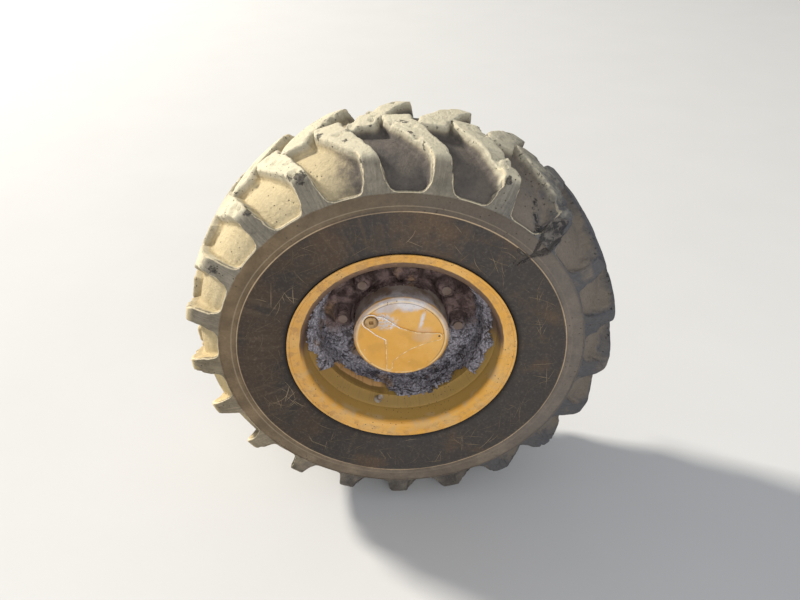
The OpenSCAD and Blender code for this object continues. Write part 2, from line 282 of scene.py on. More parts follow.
def lattice_noise(points, seed=0):
    """Smooth noise from -1 to 1 at each point, with cells one unit wide."""
    cell = np.floor(points).astype(np.int64)
    part = points - cell
    part = part * part * (3 - 2 * part)
    total = np.zeros(len(points))
    for corner in np.ndindex(2, 2, 2):
        x, y, z = (cell + corner).T
        value = (x * 73856093) ^ (y * 19349663) ^ (z * 83492791) ^ (seed * 2654435)
        value = ((value ^ (value >> 13)) * 1274126177) & 0x7FFFFFFF
        weight = np.prod(np.where(np.array(corner) == 1, part, 1 - part), axis=1)
        total += weight * ((value >> 8) & 0xFFFF) / 0xFFFF
    return total * 2 - 1


def rough(points, size, octaves=3, seed=0):
    """Layered noise; size is the largest lump, in millimetres. Any shape of points by 3."""
    flat = points.reshape(-1, 3) / size
    total = sum(lattice_noise(flat * 2**i, seed + i) / 2**i for i in range(octaves))
    return total.reshape(points.shape[:-1])


def smooth(value, low, high):
    """0 at low, 1 at high, with soft ends; low may be the larger."""
    t = np.clip((value - low) / (high - low), 0, 1)
    return t * t * (3 - 2 * t)


def curve_through(rows, steps):
    """Rows of numbers joined by a smooth curve, with steps[i] points from row i to the next."""
    rows = np.array(rows, float)
    ends = np.vstack([2 * rows[0] - rows[1], rows, 2 * rows[-1] - rows[-2]])
    out = []
    for i, count in enumerate(steps):
        a, b, c, d = ends[i:i + 4]
        for t in np.arange(count) / count:
            out.append(0.5 * (2 * b + (c - a) * t + (2 * a - 5 * b + 4 * c - d) * t * t
                              + (3 * b - a - 3 * c + d) * t**3))
    out.append(rows[-1])
    return np.array(out)


def at(out, radius, degrees):
    """Points from outboard place, radius and angle, in millimetres from the tyre's centre."""
    a = np.radians(degrees)
    return np.stack([radius * np.cos(a), -out + 0 * a, radius * np.sin(a)], axis=-1)


def placed(mesh, material):
    """A new object in the scene, of the mesh's name."""
    mesh.materials.append(material)
    obj = bpy.data.objects.new(mesh.name, mesh)
    bpy.context.scene.collection.objects.link(obj)
    return obj


def grid_piece(name, points, material, keep=None, turned=False, **values):
    """A mesh over rows by columns of points, closed round the axle. keep marks the faces to keep."""
    rows, columns = points.shape[:2]
    here = np.arange(rows * columns).reshape(rows, columns)
    right = np.roll(here, -1, axis=1)
    faces = np.stack([here[:-1], here[1:], right[1:], right[:-1]], axis=-1)
    if turned:
        faces = faces[..., ::-1]
    faces = faces[keep] if keep is not None else faces.reshape(-1, 4)
    used, faces = np.unique(faces, return_inverse=True)
    faces = faces.reshape(-1, 4)
    mesh = bpy.data.meshes.new(name)
    mesh.from_pydata(((points.reshape(-1, 3)[used]) * MM + (0, CENTRE_Y, 0)).tolist(), [], faces.tolist())
    for key, value in values.items():
        layer = mesh.attributes.new(key, "FLOAT", "POINT")
        layer.data.foreach_set("value", value.reshape(-1)[used].astype(np.float32))
    mesh.polygons.foreach_set("use_smooth", [True] * len(mesh.polygons))
    obj = placed(mesh, material)
    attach(obj, "wheel")
    return obj


# Tread, in millimetres. Columns: outboard place and depth below the crown on a lug, the same on the
# groove's floor. The depths then become radii.
TREAD = np.array([
    (0, 0, 0, 25), (20, 0, 20, 25), (30, 0.2, 30, 25.5), (38, 0.5, 38, 26), (75, 2.5, 75, 28),
    (105, 5.5, 104, 36), (128, 9, 122, 45), (142, 14.5, 133, 54), (153, 32, 145, 67),
    (161, 57, 152, 79), (165, 81, 158, 86), (165.6, 88, 163, 88),
])
TREAD[:, 1::2] = CROWN_R - TREAD[:, 1::2]
TREAD_STEPS = [4, 5, 3, 8, 7, 5, 4, 5, 6, 5, 3]
# Lugs. Columns: outboard place, angle past the shoulder, half width of the top
LUGS = np.array([
    (-27, 10.2, 30), (-19, 10.3, 31), (10, 9.6, 32), (38, 7.5, 32), (75, 4.9, 27), (105, 2.6, 22),
    (128, 0.8, 19), (142, 0.0, 18), (153, -0.5, 19), (161, -0.8, 22), (166, -1.0, 26),
])
LUG_COUNT = 21
LUG_PHASE = 10.6
LUG_PITCH = 360 / LUG_COUNT
HEAD_O = LUGS[0, 0]
# Width of a lug's flank, and how round its top edge, its head, its corners and the groove's end are
FLANK = 8.0
TOP_ROUND = 1.5
HEAD_ROUND = 6.0
CORNER = 0.09
GROOVE_ROUND = 17.0
# Columns of points over half a lug's pitch
COLUMNS = 21


def lug_height(out, radius, degrees, to_band, shift, wear):
    """1 on the tops of one side's lugs, falling to 0 on the grooves' floor."""
    centre = np.interp(out, LUGS[:, 0], LUGS[:, 1])
    half = np.interp(out, LUGS[:, 0], LUGS[:, 2])
    off = (degrees - LUG_PHASE - shift - centre + LUG_PITCH / 2) % LUG_PITCH - LUG_PITCH / 2
    side = np.abs(np.radians(off)) * radius - half + wear
    # the groove's round end at the band
    a, b = GROOVE_ROUND - side, GROOVE_ROUND - to_band
    side = GROOVE_ROUND - np.hypot(np.maximum(a, 0), np.maximum(b, 0)) - np.minimum(np.maximum(a, b), 0)
    head = HEAD_O - out + wear
    a, b = side + HEAD_ROUND, head + HEAD_ROUND
    away = np.hypot(np.maximum(a, 0), np.maximum(b, 0)) + np.minimum(np.maximum(a, b), 0) - HEAD_ROUND
    slope = (FLANK - away) / (FLANK + TOP_ROUND)
    return (slope + np.hypot(slope, CORNER) - (slope - 1) - np.hypot(slope - 1, CORNER)) / 2


def column_angles(out):
    """Angles round the tyre for one row, close together on the lugs' flanks."""
    place = np.abs(out)
    shear = np.interp(place, LUGS[:, 0], LUGS[:, 1])
    radius = np.interp(place, TREAD[:, 0], TREAD[:, 1])
    edge = np.degrees(np.interp(place, LUGS[:, 0], LUGS[:, 2]) / radius)
    flank = np.degrees((FLANK + TOP_ROUND) / radius)
    marks = np.array([0, edge - flank * 0.25, edge + flank * 0.8, LUG_PITCH / 2])
    shares = [0, 0.3, 0.7, 1]
    t = np.arange(COLUMNS) / COLUMNS
    near = np.interp(t, shares, marks)
    far = LUG_PITCH / 2 - np.interp(1 - t, shares, marks)
    mixed = near + (far - near) * smooth(-out, -20, 20)
    past = LUG_PITCH - mixed[:0:-1]
    one = np.concatenate([mixed, [LUG_PITCH / 2], past])
    return (one[None, :] + LUG_PHASE + shear + LUG_PITCH * np.arange(LUG_COUNT)[:, None]).ravel()


# The torn lug on the outer shoulder: the middle and size of its crumpled patch, by angle and radius
TORN_DEG, TORN_R, TORN_HALF_DEG, TORN_HALF_R = 44.8, 432, 2.3, 36

# The lines of the tear through the outer shoulder. Nine of the points were read off the photograph and
# worked out through the fitted view. The other seven were moved a little or added, and the half widths
# are given one by one. Columns: angle, radius, half width
CRACKS = [
    [(52.0, 478, 2), (49.3, 456, 2.5), (47.5, 427, 3), (45.4, 398, 3.5), (43.6, 371, 3.5), (43.7, 359, 2.5),
     (44.2, 344, 1.8), (46.2, 321, 1)],
    [(41.3, 456, 3), (41.7, 439, 4), (42.2, 421, 5), (41.6, 396, 6), (42.4, 381, 5.5), (43.5, 370, 3)],
    [(48.8, 360, 1.1), (44.4, 361, 1.6)],
]
# Gouges in the lugs. Twelve of the places were read off the photograph and worked out through the
# fitted view. The other places and all sizes are given one by one. Columns: angle, outboard place, radius,
# size
GOUGES = [
    (112.9, 147, 464, 13), (115.0, 140, 470, 8), (128.3, 148, 462, 11), (126.5, 138, 472, 7),
    (108.2, 20, 486, 9), (147.4, 156, 445, 9), (150.6, 147, 464, 8), (88.2, 15, 486, 7),
    (87.6, 24, 486, 5), (86.4, 73, 484, 6), (86.2, 81, 484, 4), (82.3, 138, 474, 6),
    (66.4, 127, 478, 8), (67.2, 119, 480, 5), (62.8, 148, 462, 7), (98.7, 148, 462, 8),
    (101.4, 81, 483, 6), (17.0, 130, 477, 8), (-21.0, 60, 485, 9), (-64.0, 20, 486, 7),
    (-100.0, -60, 485, 10), (-150.0, 90, 482, 9), (175.0, -100, 481, 8), (60.0, -80, 484, 9),
    (120.0, -120, 478, 7),
]


def near_crack(degrees, radius):
    """1 in the crack through the outer shoulder, fading to 0 beside it."""
    a = np.radians(degrees)
    x, z = radius * np.cos(a), radius * np.sin(a)
    near = np.zeros(x.shape)
    for crack in CRACKS:
        line = [(r * math.cos(math.radians(d)), r * math.sin(math.radians(d)), w) for d, r, w in crack]
        for (x0, z0, w0), (x1, z1, w1) in zip(line, line[1:]):
            t = ((x - x0) * (x1 - x0) + (z - z0) * (z1 - z0)) / ((x1 - x0)**2 + (z1 - z0)**2)
            t = np.clip(t, 0, 1)
            away = np.hypot(x - x0 - t * (x1 - x0), z - z0 - t * (z1 - z0))
            near = np.maximum(near, smooth(away / (w0 + t * (w1 - w0)), 1.3, 0.3))
    return near


def tread(material):
    """The worn lugs and the grooves between them, from band to band."""
    half = curve_through(TREAD, TREAD_STEPS)
    rows = np.vstack([half[:0:-1], half * (-1, 1, -1, 1)])
    out = rows[:, 0]
    degrees = np.array([column_angles(o) for o in out])
    o = np.broadcast_to(out[:, None], degrees.shape)
    radius = np.broadcast_to(rows[:, 1, None], degrees.shape)
    step = np.hypot(*np.diff(rows[:, :2], axis=0).T)
    path = np.concatenate([[0], np.cumsum(step)])
    to_band = np.broadcast_to(np.minimum(path, path[-1] - path)[:, None], degrees.shape)
    base = at(o, radius, degrees)
    wear = 2.6 * rough(base, 34, 3, 1) + 1.5 * rough(base, 11, 3, 2)
    band_gap = to_band - 4
    near = lug_height(o, radius, degrees, band_gap, 0, wear)
    far = lug_height(-o, radius, degrees, band_gap, LUG_PITCH / 2, wear)
    top = np.maximum(near, far)
    # chips along the lugs' edges and the torn shoulder
    chip = smooth(rough(base, 22, 2, 5), 0.42, 0.75) * smooth(top, 0.05, 0.5) * smooth(to_band, 12, 30)
    torn = ((degrees - TORN_DEG + 180) % 360 - 180) / TORN_HALF_DEG
    torn = np.hypot(torn, (radius - TORN_R) / TORN_HALF_R)
    torn = (o > 60) * smooth(torn + 0.25 * rough(base, 18, 2, 7), 1.1, 0.9)
    crack = (o > 40) * near_crack(degrees, radius)
    height = top * (1 - 0.22 * chip) - torn * (0.20 + 0.26 * rough(base, 16, 3, 8)) * smooth(to_band, 0, 14)
    height = height - 0.22 * crack * smooth(to_band, 0, 14)
    torn = np.maximum(0.3 * torn, crack)
    place = rows[:, None, 2:4] + height[..., None] * (rows[:, None, 0:2] - rows[:, None, 2:4])
    swell = 0.9 * rough(base, 60, 2, 3) - 1.0 + 0.35 * rough(base, 7, 2, 4)
    fade = smooth(to_band, 0, 10)
    lean = rows[:, 0:2] - rows[:, 2:4]
    lean = lean / np.maximum(np.hypot(*lean.T), 1)[:, None]
    place = place + (swell * fade)[..., None] * lean[:, None, :]
    points = at(place[..., 0], place[..., 1], degrees)
    obj = grid_piece("tread", points, material, lug=top, torn=torn, turned=True)
    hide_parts("tyre")


# Sidewall from the tread's band to the bead. Columns: outboard place, radius
SIDEWALL = [
    (164.6, CROWN_R - 85), (165.4, CROWN_R - 91), (165.7, CROWN_R - 101), (165.7, 376),
    (166.6, 374.4), (166.6, 373), (165.6, 371.4), (165.5, 366), (165.6, 363.4), (166.9, 362),
    (166.9, 360.6), (165.3, 359), (165.4, 352), (165, 340), (164.2, 325), (163, 308), (161.2, 294),
    (158.6, 281), (155.4, 272), (152.4, 266.5), (151.4, 264.6), (151.6, 262.8), (150.2, 260.6),
    (147.6, 258.2), (144.6, 257), (142.2, 255), (140.4, 251.5), (139.6, 246), (139.6, 236),
]


def wall_sunk(side, radius, degrees, base):
    """How far the worn sidewall lies inside its outline, and where it is torn."""
    free = smooth(radius, 262, 285)
    sunk = free * (0.7 + 0.7 * rough(base, 70, 3, 11) + 0.25 * rough(base, 11, 2, 12))
    # the tear runs on from the broken lug down over the band
    torn = (side > 0) * near_crack(degrees, radius)
    away = np.hypot((degrees - TORN_DEG + 1.5) / 2.2, (radius - 396) / 14)
    sunk = sunk + (side > 0) * smooth(away + 0.3 * rough(base, 12, 2, 13), 1.1, 0.5) * 3.0 + 3.5 * torn
    return np.maximum(sunk, 0), torn


def sidewalls(material):
    """Both worn sidewalls; the outer one is the finer."""
    rows = np.array(SIDEWALL)
    for name, side, columns in (("sidewall_outer", 1, 900), ("sidewall_inner", -1, 420)):
        degrees = np.broadcast_to(np.arange(columns) * 360 / columns, (len(rows), columns))
        o = np.broadcast_to(rows[:, 0, None], degrees.shape)
        r = np.broadcast_to(rows[:, 1, None], degrees.shape)
        sunk, torn = wall_sunk(side, r, degrees, at(side * o, r, degrees))
        points = at(side * (o - sunk), r, degrees)
        obj = grid_piece(name, points, material, torn=torn, turned=side > 0)


SCRATCHES = 300
SCRATCH_POINTS = 30
# Scratches start between the first two radii and stay between the last two
SCRATCH_START_R = (268, 352)
SCRATCH_STAY_R = (262, 357)
SCRATCH_LIFT = 0.30


def scratches():
    """Long thin curved scratches on the outer sidewall."""
    n = Nodes("scratch")
    tone = n.tones(n.noise(14.0, 3, 0.6), 0.46, 0.66, (0.100, 0.076, 0.052), (0.27, 0.205, 0.130))
    material = n.finish(tone, 0.85, specular=0.2)
    rng = np.random.default_rng(12)
    outline = np.array(SIDEWALL)[::-1]
    verts, faces = [], []
    for _ in range(SCRATCHES):
        turn, radius = rng.uniform(0, 2 * np.pi), rng.uniform(*SCRATCH_START_R)
        heading, bend = rng.uniform(0, 2 * np.pi), rng.normal(0, 0.009)
        length, width = rng.uniform(15, 95), rng.uniform(0.30, 0.62)
        t = np.linspace(0, 1, SCRATCH_POINTS)
        angle = heading + bend * length * t
        step = length / SCRATCH_POINTS
        x = radius * np.cos(turn) + np.cumsum(np.cos(angle)) * step
        z = radius * np.sin(turn) + np.cumsum(np.sin(angle)) * step
        half = width * np.sin(np.pi * np.clip(t, 0.02, 0.98)) ** 0.5
        side_x = np.concatenate([x - np.sin(angle) * half, x + np.sin(angle) * half])
        side_z = np.concatenate([z + np.cos(angle) * half, z - np.cos(angle) * half])
        r = np.hypot(side_x, side_z)
        if r.min() < SCRATCH_STAY_R[0] or r.max() > SCRATCH_STAY_R[1]:
            continue
        degrees = np.degrees(np.arctan2(side_z, side_x))
        o = np.interp(r, outline[:, 1], outline[:, 0])
        sunk, _ = wall_sunk(1, r, degrees, at(o, r, degrees))
        first = len(verts)
        verts += (at(o - sunk + SCRATCH_LIFT, r, degrees) * MM + (0, CENTRE_Y, 0)).tolist()
        for k in range(first, first + SCRATCH_POINTS - 1):
            faces.append((k, k + 1, k + 1 + SCRATCH_POINTS, k + SCRATCH_POINTS))
    mesh = bpy.data.meshes.new("scratches")
    mesh.from_pydata(verts, [], faces)
    obj = placed(mesh, material)
    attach(obj, "wheel")


# Mud. Columns: outboard place and radius of the metal, then the mud's usual thickness there
MUD = [
    (72, WELL_R - 89.5, 0.0), (40, WELL_R - 89.5, 0.6), (14, WELL_R - 89.5, 1.5),
    (DISC_O + 1, WELL_R - 85, 4), (DISC_O, WELL_R - 72, 6), (DISC_O, WELL_R - 45, 6),
    (DISC_O, WELL_R - 29, 7), (DISC_O - 9, WELL_R - 17, 11), (DISC_O - 16, WELL_R - 5, 14),
    (DISC_O - 10, WELL_R, 11), (DISC_O + 14, WELL_R, 7), (DISC_O + 40, WELL_R, 6),
    (DISC_O + 64, WELL_R, 5), (DISC_O + 78, WELL_R + 9.5, 4), (DISC_O + 92, WELL_R + 18.5, 3.5),
    (DISC_O + 104, WELL_R + 19.2, 3),
]
MUD_STEPS = [5, 5, 4, 4, 7, 5, 4, 4, 3, 6, 6, 6, 5, 5, 3]
MUD_COLUMNS = 720
# Mud thinner than this lies under the metal and is left out
MUD_HIDDEN = -1.2
# How far outboard the mud reaches on the rim, by angle
MUD_REACH = np.array([
    (-180, 92), (-168, 88), (-155, 90), (-149, 70), (-145, 34), (-129, 26), (-115, 27),
    (-106, 30), (-101, 56), (-95, 74), (-84, 78), (-74, 70), (-64, 70), (-52, 60), (-46, 48),
    (-40, 52), (-35, 82), (-24, 84), (-8, 84), (10, 80), (25, 88), (45, 78), (70, 74),
    (100, 78), (130, 76), (155, 88), (180, 92),
])
NUT_COUNT = 8
NUT_PHASE = -6.5
NUT_PITCH_R = 137.5
# The mud over each nut, from the one at the right going up. Columns: half width, height
NUT_MOUNDS = np.array([
    (22, 25), (26, 28), (34, 31), (25, 27), (26, 28), (21, 22), (20, 20), (21, 21),
])


def mud(material):
    """One sheet of caked mud from the cover's drum over disc and nuts to the rim."""
    rows = curve_through(MUD, MUD_STEPS)
    degrees = np.arange(MUD_COLUMNS) * 360 / MUD_COLUMNS
    degrees = (degrees + 180) % 360 - 180
    o = np.broadcast_to(rows[:, 0, None], (len(rows), MUD_COLUMNS))
    r = np.broadcast_to(rows[:, 1, None], o.shape)
    base = at(o, r, degrees[None, :])
    thick = rows[:, 2, None] * (1 + 0.5 * rough(base, 34, 3, 21)) + 1.9 * rough(base, 9, 3, 22)
    # mounds over the nuts
    pitch = 360 / NUT_COUNT
    nut = (degrees - NUT_PHASE + pitch / 2) % pitch - pitch / 2
    which = np.floor((degrees - NUT_PHASE + pitch / 2) / pitch)
    half, tall = NUT_MOUNDS[which.astype(int) % NUT_COUNT].T
    away = np.hypot(np.radians(nut)[None, :] * r, r - NUT_PITCH_R) + 3.5 * rough(base, 14, 2, 23)
    on_disc = smooth(r, 112, 118) * smooth(r, 177, 170)
    mound = (tall * (1 + 0.08 * rough(base, 8, 2, 27)) - thick) * on_disc
    thick = thick + np.maximum(mound, 0) * smooth(away / half, 1.05, 0.70)
    # a ring round each mound where the mud's colour gets painted shade
    crease = on_disc * smooth(np.abs(away / half - 1.12), 0.28, 0.06)
    # the ragged edge on the rim
    reach = np.interp(degrees, MUD_REACH[:, 0], MUD_REACH[:, 1])
    edge = reach[None, :] + 9 * rough(base, 26, 3, 24) - o
    cover = np.where(r > WELL_R - 16, smooth(edge, -1, 3.5), 1)
    drum = rough(base, 40, 3, 25) * 14 + 36
    cover = np.where(r < WELL_R - 80, smooth(drum - o, -2, 6), cover)
    thick = thick * cover - 2.5 * (1 - cover)
    line = np.gradient(rows[:, :2], axis=0)
    normal = np.stack([-line[:, 1], line[:, 0]], axis=-1)
    normal = normal / np.hypot(*normal.T)[:, None] * -1
    lift = thick[..., None] * normal[:, None, :]
    points = at(o + lift[..., 0], r + lift[..., 1], degrees[None, :])
    shown = thick > MUD_HIDDEN
    keep = shown[:-1] & shown[1:]
    keep = keep & np.roll(keep, -1, axis=1)
    grid_piece("mud", points, material, keep=keep, crease=crease, turned=True)


BLACK = (0.0, 0.0, 0.0)
WHITE = (1.0, 1.0, 1.0)
BARE_RUBBER = (0.070, 0.062, 0.056)
GREY_RUBBER = (0.20, 0.172, 0.142)
SLATE_RUBBER = (0.088, 0.092, 0.106)
BROWN_RUBBER = (0.200, 0.170, 0.142)
TAN_DUST = (0.62, 0.487, 0.262)
CREAM_DUST = (0.63, 0.578, 0.430)
# Radii on the tyre, in metres: its edge against the rim, the mould line, the fine ribs beyond it, and
# where the tread's colours begin
BEAD_R = 0.264
MOULD_LINE_R = 0.3614
RIBS_R = 0.3730
TREAD_R = 0.403


def rubber_builder():
    """The rubber's builder, with the places and noises that its parts share."""
    n = Nodes("worn_rubber")
    n.out, n.radius, n.across, n.up = n.round_axle()
    n.fine = n.noise(170.0, 6, 0.65)
    n.mottle = n.noise(24.0, 6, 0.6)
    n.broad = n.noise(6.0, 4, 0.55)
    n.grain = n.noise(70.0, 5, 0.7)
    n.lug = n.attribute("lug")
    n.torn = n.attribute("torn")
    # how far toward the upper left, where the sun lamp falls; what it weights is painted paler and warmer
    # there: painted light
    n.sunny = n.step(n.across * -0.85 + n.up * 0.6, -0.75, 0.75)
    n.patchy = (n.mottle - 0.5) * 0.35 + (n.grain - 0.5) * 0.45
    # how much a place faces the sun lamp at the upper left, with noise: used for painted light
    n.facing = n.across * -0.8 + n.up * 0.6 + n.patchy
    # faces that look outboard stay greyer, with lines that run down them
    n.side_face = n.step(abs(n.out), 0.140, 0.152) * n.step(n.lug, 0.45, 0.8)
    lines = n.noise(1.0, 4, 0.6, n.vector(n.across * 95.0, n.up * 95.0, n.radius * 14.0))
    n.lines = n.side_face * n.step(lines, 0.40, 0.65)
    return n


def tread_tones(n):
    """The tread: pale dust over bare rubber, most of it on what faces the sun: real dust laid out as
    painted light, with painted shade elsewhere.
    """
    pale = n.step(n.up + n.mottle, 0.4, 1.2) * n.blend(n.step(n.lug, 0.3, 0.7), 0.35, 1.0)
    dust = n.mix(pale, TAN_DUST, CREAM_DUST)
    # painted shade: the dust on groove floors is painted darker
    dust = n.mix(n.step(n.lug, 0.5, 0.2) * 0.12, dust, BLACK)
    shade = n.tones(n.mottle, 0.3, 0.7, BARE_RUBBER, GREY_RUBBER)
    # painted shade: bare rubber on groove floors is painted darker
    floor_shade = n.tones(n.mottle, 0.3, 0.7, (0.080, 0.071, 0.066), (0.125, 0.108, 0.093))
    shade = n.mix(n.step(n.lug, 0.45, 0.2), shade, floor_shade)
    # painted shade: the side away from the sun is painted slate, with brown patches
    patch = n.step(n.lug + (n.mottle + n.broad - 1.0) * 2.0, 0.95, 0.35)
    shaded_side = n.step(n.across, 0.25, 0.6) * 0.85
    shade = n.mix(shaded_side, shade, n.mix(patch, SLATE_RUBBER, BROWN_RUBBER))
    # dust on lugs that face the sun and on groove floors on the left, less elsewhere: real dust laid out as
    # painted light and painted shade
    sunlit_tops = n.step(n.facing, -0.20, 0.22)
    sunlit_floors = n.step(n.across + n.patchy * 0.4, -0.14, -0.34) * n.step(n.up, -0.75, -0.2)
    amount = n.blend(n.step(n.lug, 0.35, 0.75), sunlit_floors, sunlit_tops)
    amount = amount * n.blend(n.step(n.broad, 0.3, 0.7), 0.80, 1.0)
    amount = amount * n.blend(n.side_face, 1.0, 0.25)
    colour = n.mix(amount, shade, dust)
    return n.mix(n.lines * 0.38, colour, (0.125, 0.108, 0.088))


def wall_tones(n):
    """The plain sidewall, stained and rayed, and the dustier band beyond the mould line, with painted light
    and shade.
    """
    # the band is dusty, painted warmer on the sunlit upper left and greyer elsewhere: real dust with
    # painted light and shade
    band_shaded_side = n.tones(n.mottle, 0.3, 0.75, (0.14, 0.112, 0.088), (0.235, 0.188, 0.142))
    band_sunlit_dust = n.tones(n.mottle, 0.3, 0.75, (0.13, 0.092, 0.055), (0.215, 0.155, 0.092))
    band = n.mix(n.sunny, band_shaded_side, band_sunlit_dust)
    # the band is darker toward the top and upper right
    darker_top = n.step(n.up, 0.1, 0.85) * n.step(n.across, -0.75, 0.05)
    darker_top = darker_top * n.blend(n.step(n.broad, 0.35, 0.65), 0.45, 0.75)
    band = n.mix(darker_top, band, (0.098, 0.086, 0.076))
    band = n.mix(n.step(n.across, 0.45, 0.9) * 0.5, band, (0.150, 0.138, 0.130))
    # stains and rays are real marks, painted stronger toward the sunlit upper left: partly painted light
    stain = n.noise(8.0, 6, 0.65) + (n.sunny - 0.5) * 0.12
    wall = n.tones(stain, 0.42, 0.66, (0.056, 0.050, 0.047), (0.112, 0.075, 0.050))
    # painted shade: the sidewall is darker toward the left
    wall = n.mix(n.step(n.across, 0.1, -0.8) * 0.62, wall, (0.030, 0.023, 0.019))
    rays = n.noise(1.0, 4, 0.6, n.vector(n.across * 26.0, n.up * 26.0, n.radius * 7.0))
    rays = n.step(rays, 0.48, 0.72) * n.blend(n.sunny, 0.12, 0.26)
    wall = n.mix(rays, wall, (0.15, 0.105, 0.066))
    wall = n.mix(n.step(n.fine, 0.5, 0.75) * 0.3, wall, (0.20, 0.16, 0.12))
    # painted shade where it meets the rim
    wall = n.mix(n.step(n.radius, BEAD_R + 0.006, BEAD_R - 0.006) * 0.85, wall, (0.018, 0.016, 0.015))
    colour = n.mix(n.step(n.radius + n.broad * 0.012, 0.363, 0.373), wall, band)
    # painted highlights along the mould line's step and on the fine ribs, the ribs' stronger toward the
    # sunlit side
    mould_line_highlight = n.between(n.radius, MOULD_LINE_R - 0.0012, MOULD_LINE_R + 0.0012, 0.0005)
    mould_line_highlight = mould_line_highlight * n.blend(n.step(n.broad, 0.35, 0.6), 0.45, 1.0)
    colour = n.mix(mould_line_highlight, colour, (0.46, 0.34, 0.215))
    rib_highlights = n.between(n.radius, RIBS_R - 0.0014, RIBS_R + 0.0014, 0.0006)
    return n.mix(rib_highlights * n.blend(n.sunny, 0.1, 0.45), colour, (0.36, 0.29, 0.20))


def gouged(n):
    """1 inside the gouges, with ragged edges."""
    ragged = (n.noise(110.0, 4, 0.65) - 0.5) * 0.034
    total = 0.0
    for degrees, out, radius, size in GOUGES:
        middle = tuple(at(out, radius, degrees) * MM + (0, CENTRE_Y, 0))
        away = n.vector_math("DISTANCE", n.place, middle, output="Value") + ragged
        total = n.most(total, n.step(away, size * MM, size * MM * 0.7))
    return total


def rubber():
    """The whole tyre's rubber: sidewall, band and tread."""
    n = rubber_builder()
    to_tread = n.step(n.radius + n.mottle * 0.006, TREAD_R - 0.002, TREAD_R + 0.002)
    colour = n.mix(to_tread, wall_tones(n), tread_tones(n))
    # painted highlight: where a groove ends, its thin rim is painted pale as if catching the light
    groove_rim_highlight = n.between(n.lug, 0.80, 0.955, 0.03) * n.step(abs(n.out), 0.118, 0.134)
    groove_rim_highlight = groove_rim_highlight * n.step(n.facing, -0.35, 0.1)
    colour = n.mix(groove_rim_highlight * 0.85, colour, (0.72, 0.62, 0.43))
    # lug flanks keep less dust than tops and floors
    flank = n.between(n.lug, 0.30, 0.85, 0.08) * n.step(abs(n.out), 0.145, 0.120)
    colour = n.mix(flank * 0.35, colour, (0.17, 0.145, 0.11))
    # the torn patch is crumpled, with painted light and shade on its folds, and painted shade where it is
    # deepest
    crumpled = n.between(n.torn, 0.14, 0.50, 0.07)
    folds = n.noise(50.0, 5, 0.7, distortion=1.4)
    fold_light_and_shade = n.tones(folds, 0.42, 0.58, (0.045, 0.043, 0.045), (0.27, 0.245, 0.22))
    colour = n.mix(crumpled * 0.8, colour, fold_light_and_shade)
    torn_shade = n.torn * n.blend(n.step(n.mottle, 0.3, 0.6), 0.75, 1.0)
    colour = n.mix(torn_shade, colour, (0.040, 0.036, 0.034))
    # gouges, and chips along the lugs' edges, painted dark as the shade in their hollows
    chips = n.between(n.lug, 0.60, 0.965, 0.03) * n.step(n.noise(80.0, 5, 0.7), 0.60, 0.64)
    chips = n.most(chips * n.step(abs(n.out), 0.152, 0.142), gouged(n))
    chip_shade = n.tones(n.fine, 0.4, 0.65, (0.036, 0.032, 0.030), (0.16, 0.14, 0.115))
    colour = n.mix(chips * 0.9, colour, chip_shade)
    pits = n.step(n.cells(95.0), 0.18, 0.07) * n.step(n.broad, 0.48, 0.6)
    colour = n.mix(pits, colour, (0.07, 0.055, 0.04))
    colour = n.mix(0.30, colour, n.mix(n.fine, BLACK, WHITE), "OVERLAY")
    relief = n.fine * 0.6 + n.mottle * 0.8 + n.grain * 0.7 - pits * 0.7 - chips - n.lines * 0.25
    relief = relief * n.blend(n.step(n.radius, 0.395, 0.405), 0.6, 1.0) + crumpled * folds * 3.0
    return n.finish(colour, 0.84, n.bump(relief, 0.0055, 0.8), specular=0.25)


# Strips on the rim's barrel, in metres outboard of the tyre's centre plane: from, to
SLOPE = (0.068, 0.093)
BEAD_SEAT = (0.099, 0.122)
BRIGHT_STRIP = (0.020, 0.044)
SHADOW_STRIP = (0.040, 0.062)
# Rings on the cover's face, two round its middle for a painted highlight and a painted shade and one round
# the plug's, in metres: from, to
HIGHLIGHT_RING = (0.1005, 0.1035)
SHADE_RING = (0.0978, 0.0992)
PLUG_RING = (0.0136, 0.0168)


def yellow_paint(name):
    """Worn yellow paint, fresh to faded: its builder, with the noises its parts share, and its colour."""
    n = Nodes(name)
    n.out, n.radius, n.across, n.up = n.round_axle()
    n.fine = n.noise(210.0, 6, 0.6)
    n.mottle = n.noise(30.0, 6, 0.6)
    n.broad = n.noise(8.0, 4, 0.5)
    worn = n.broad + (n.mottle - 0.5) * 0.6
    return n, n.tones(worn, 0.3, 0.7, (0.72, 0.362, 0.056), (0.78, 0.440, 0.116))


